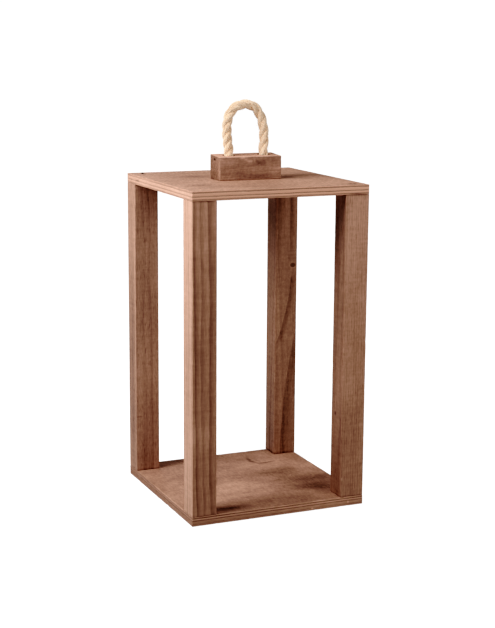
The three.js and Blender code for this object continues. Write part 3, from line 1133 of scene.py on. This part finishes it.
def add_panels():
    # Painted shadow: the spots at (48, 12), (48, -8), (62, -22), (66, -56) and (58, -44) darken the right of
    # the base in the shadow of the top panel and the front-right post, and the one at (-48, -78) is the
    # front-left post's shadow beside its foot.
    base_spots = spots_on(
        PANEL_TOP, 20, (48, 12, 24, 12, 0.24), (48, -8, 20, 15, 0.20), (62, -22, 40, 14, 0.26),
        (66, -56, 18, 18, 0.14), (-48, -78, 22, 7, 0.36), (58, -44, 34, 13, 0.29), (-15, -41, 7, 2.2, 0.16),
        (40, 52, 22, 3, 0.07),
    ) + [
        ((50, -90, 4), (60, 3, 12), -0.16), ((51, -5, 9), (0.9, 1.1, 4), -0.8),
        ((35, -90, 2), (1.4, 1, 1.1), -0.7), ((74, -90, 4), (1.1, 1, 1.3), -0.6),
        ((-90, -25, 8.6), (1.6, 62, 0.9), -0.26), ((-90, -40, 5.6), (1.5, 50, 0.7), 0.16),
        ((-66, -90, 8.2), (26, 2, 1.1), 0.16),
    ]
    # the spot at (62, 13) is the block's painted shadow on the panel
    top_spots = spots_on(
        PANEL_TOP, 20, (-82, 46, 22, 40, -0.11), (-42, 33, 18, 12, 0.20), (-66, -44, 18, 10, 0.24),
        (62, -52, 60, 46, -0.09), (-58, -62, 30, 24, 0.08), (62, 13, 34, 14, 0.27), (-2, 26, 12, 9, 0.14),
    ) + [
        ((-77.7, 77, 9), (3.4, 7, 3), 0.50), ((77.7, -78.7, 9), (6, 7, 3), 0.50),
        # the spots at (77, -90) and (-78, -90) on the underside's front edge are painted shade where the
        # panel rests on the front posts
        ((-90, 59, 4.5), (3, 7, 1.3), 0.42), ((77, -90, 0.3), (14, 3, 1.2), 0.50),
        ((-78, -90, 0.3), (14, 3, 1.0), 0.25),
    ]
    curls = [
        ((60.5, 62.5, 0), 24, (33, 56, 9), (10, 20, 20), 0.34),
        ((50.5, 70.5, 0), 22, (47, 44, 9), (15, 6, 20), 0.42),
        ((66.5, 62.5, 0), 24, (41, 60, 9), (8, 12, 20), 0.18),
    ]
    base_nails = [nail_hole("base_nail_" + corner, PANEL_NAIL) for corner in CORNERS]
    top_nails = [nail_hole("top_nail_" + corner, PANEL_NAIL) for corner in CORNERS]
    screws = [screw_hole("block_screw_" + side) for side in SIDES]
    add_panel("base_panel", BASE_PLIES, base_nails, 3, plywood(
        "base_ply", "base_panel", BASE_PLIES, 21, tone=0.46, edge_tones=(0.38, 0.14), patches=0.6,
        cloudiness=0.5, speckle=0.7, spots=base_spots, curls=curls,
    ))
    add_panel("top_panel", TOP_PLIES, top_nails + screws, 4, plywood(
        "top_ply", "top_panel", TOP_PLIES, 33, tone=0.37, edge_tones=(0.14, -0.22), patches=0.35,
        cloudiness=0.42, spots=top_spots,
    ))


def add_post(corner, seed, pith, ring, grain_seed, foot, spots, extra_nicks=(), **look):
    """A batten on end; foot is how high the painted contact shadow at its foot goes, and its tone change."""
    node = "post_" + corner
    # painted contact shadow where the foot stands on the base
    spots = spots + [((0, 0, POST_FOOT), (30, 30, foot[0]), foot[1])]
    material = timber("timber_" + corner, node, "Z", pith, ring, grain_seed, spots=spots, **look)
    shape = worn_block(node, 2, POST, seed, extra_nicks)
    holes = [nail_hole(panel + "_nail_" + corner, PANEL_NAIL) for panel in ("top", "base")]
    add_piece(node + "_batten", cut(make_mesh(node, *shape), holes), material, [node])


def add_posts():
    add_post(
        "front_left", 11, (20.4, 37.4), 3.0, 11, (2.4, 0.16),
        spots_on(POST_LEFT, 3, (-12, -71, 3, 14, -0.22), (0, -60, 16, 160, 0.08))
        + spots_on(
            POST_FRONT, 3, (0, 104, 14, 9, -0.07), (0, -72, 14, 16, -0.08), (0, -10, 14, 90, 0.07),
            # painted contact shadow where the top panel sits on the post
            (0, 149, 18, 1.8, 0.35),
        ),
        # sides: painted light on the left face, turned to the key light, and painted shade on the front
        tone=0.28, depth=0.46, lean=(0.008, 0.003), phase=0.93, wander=4.0, sides=(-0.16, 0.0, 0.04, 0.0),
        evenness=0.55, lines=1.0, mottled=0.2,
    )
    chip = (np.array((-89.7, 67.4, 74.3)) * MM, np.array((1.5, 2, 1.2)) * MM, 0.8 * MM)
    add_post(
        "rear_left", 12, (-22, 60), 2.0, 23, (2.4, 0.30),
        spots_on(
            POST_LEFT, 3, (0, -50, 16, 150, 0.26), (-9, 0, 1.5, 170, -0.24), (8.5, -30, 1.8, 110, 0.16),
            (0, -60, 1.2, 90, 0.10),
        )
        + spots_on(POST_FRONT, 3, (-9, -91, 4, 1.1, 0.28), (-2, 92, 0.9, 3, 0.3))
        + spots_on(POST_FRONT, 4, (0, -130, 16, 80, 0.12), (-4, 125, 12, 34, 0.08), (0, -140, 16, 30, 0.10)),
        [chip], tone=0.35, depth=0.22, flecks=0.22, lean=(0.004, 0.0), tint=(1.0, 1.04, 1.07),
    )
    add_post(
        "front_right", 13, (70, 14), 2.3, 37, (2.2, 0.20),
        spots_on(POST_LEFT, 3, (2.9, -66.5, 2.4, 2.8, 0.5))
        # the second spot is painted shade on the inner face just under the top panel; the first darkens it
        # towards the foot
        + spots_on(POST_LEFT, 4, (0, -130, 16, 80, 0.20), (0, 140, 16, 40, 0.14))
        + spots_on(
            # the first spot is a painted contact shadow where the top panel sits on the post
            POST_FRONT, 3, (0, 149, 18, 2.0, 0.55), (-9, 100, 1.8, 60, -0.12), (-7.2, 123, 0.5, 5, -0.28),
        )
        + spots_on(POST_FRONT, 4, (0, -130, 16, 90, 0.12), (0, 125, 16, 50, -0.10))
        + [((-11, -11, -130), (0.7, 3, 2.2), -0.4)],
        # sides: painted shade on the inner left face, in the front-left post's shadow, and painted light on
        # the front
        tone=0.35, depth=0.22, flecks=0.14, lean=(0.003, 0.0), sides=(0.11, 0.0, -0.15, 0.0),
    )
    add_post(
        "rear_right", 14, (30, 34), 4.2, 53, (3.4, 0.34),
        spots_on(POST_LEFT, 4, (0, -120, 16, 90, 0.26))
        + spots_on(
            POST_FRONT, 3, (0.6, 115, 3.0, 26, -0.16), (10, 108, 2.4, 44, -0.08), (4.6, 66, 5, 5.5, 0.10),
            (9, -140, 9, 50, 0.12), (7.4, 57, 4.6, 5.0, -0.14), (-8.5, 10, 2.6, 60, -0.06),
            (-8, 112, 4, 60, 0.12),
        ),
        # sides: painted shade on the inner left face, in the rear-left post's shadow
        tone=0.42, depth=0.16, lean=(0.03, 0.0), lines=0.5, mottled=0.5, sides=(0.10, 0.0, 0.0, 0.0),
        tint=(1.02, 1.06, 1.05), knots=[(7.4, 57, 2.7, 5.0)],
        flames=[
            ((4.2, 140), (4.2, 70), 0.0, 5.0, 0.20), ((5.4, 48), (-12.2, -27), 3.0, 8.0, 0.28),
            ((12.2, -12), (-5.6, -150), -4.5, 13.0, 0.24),
        ],
    )


def rope_hole(side):
    """One of the block's upper holes, with a mouth that the rope has rubbed round."""
    start = Vector((BLOCK_MIDDLE.x + side * ROPE_FOOT * MM, BLOCK_MIDDLE.y, BLOCK_HIGH.z))
    radius, deep = ROPE_HOLE_RADIUS, ROPE_HOLE_DEPTH
    profile = [
        (0, -3 * MM), (radius + 0.75 * MM, -3 * MM), (radius + 0.75 * MM, -0.05 * MM),
        (radius + 0.35 * MM, 0.15 * MM), (radius + 0.1 * MM, 0.45 * MM), (radius, 0.9 * MM), (radius, deep),
        (0, deep + 0.5 * MM),
    ]
    return placed(turned(profile, 64, 0.008, 5), start, (0, 0, -1))


def add_block():
    material = timber(
        "timber_block", "handle_block", "X", (-26, 9), 4.0, 71, tone=0.46, depth=0.12, lean=(0.05, 0.02),
        # sides: painted light on the upper face, which faces the lamps
        sides=(0.0, 0.0, 0.0, -0.3), end_tone=0.26, lines=0.5, mottled=0.6, tint=(1.0, 1.09, 1.15),
        spots=spots_on(
            BLOCK_FRONT, 4, (-9, -6, 14, 5, 0.15), (-30, 6, 5, 6, -0.10), (-9, 10, 3.4, 1.5, -0.42),
            (-5, 8.4, 3.4, 1.4, -0.36), (-1, 6.8, 3.6, 1.3, -0.42), (4, 7.6, 1.2, 2.6, -0.24),
            (9.5, 4.8, 7, 4.4, 0.26), (7, -8.4, 19, 3.6, 0.24), (30, -0.8, 6, 0.9, -0.30),
            (26, -4, 9, 1.0, -0.22), (-32.5, -2, 1.3, 9, -0.20), (-22, 6, 10, 5, -0.12),
            (31, 7, 5, 5, -0.12), (-24, -5, 9, 2, 0.08),
        ) + [
            ((-34, 0, -9), (3, 16, 9), 0.14), ((-32.5, 1.2, 8.2), (3, 2.5, 1.5), 0.62),
            ((2, 8, 12), (26, 4.5, 3), 0.26),
        ],
    )
    points, faces = worn_block("handle_block", 0, BLOCK, 15)
    share = (points - np.array(BLOCK_LOW)) / np.array(BLOCK_HIGH - BLOCK_LOW)
    points[:, 2] += BLOCK_RISE * share[:, 1] * share[:, 2]
    mesh = cut(make_mesh("handle_block", points, faces), [rope_hole(-1), rope_hole(1)])
    pins = [nail_hole("rope_pin_" + side, ROPE_PIN) for side in SIDES]
    mesh = cut(mesh, pins + [screw_hole("block_screw_" + side) for side in SIDES])
    add_piece("handle_block_batten", mesh, material, ["handle_block"])


add_camera()
add_rope()
set_film()
add_studio()
add_panels()
add_posts()
add_block()
add_fasteners()
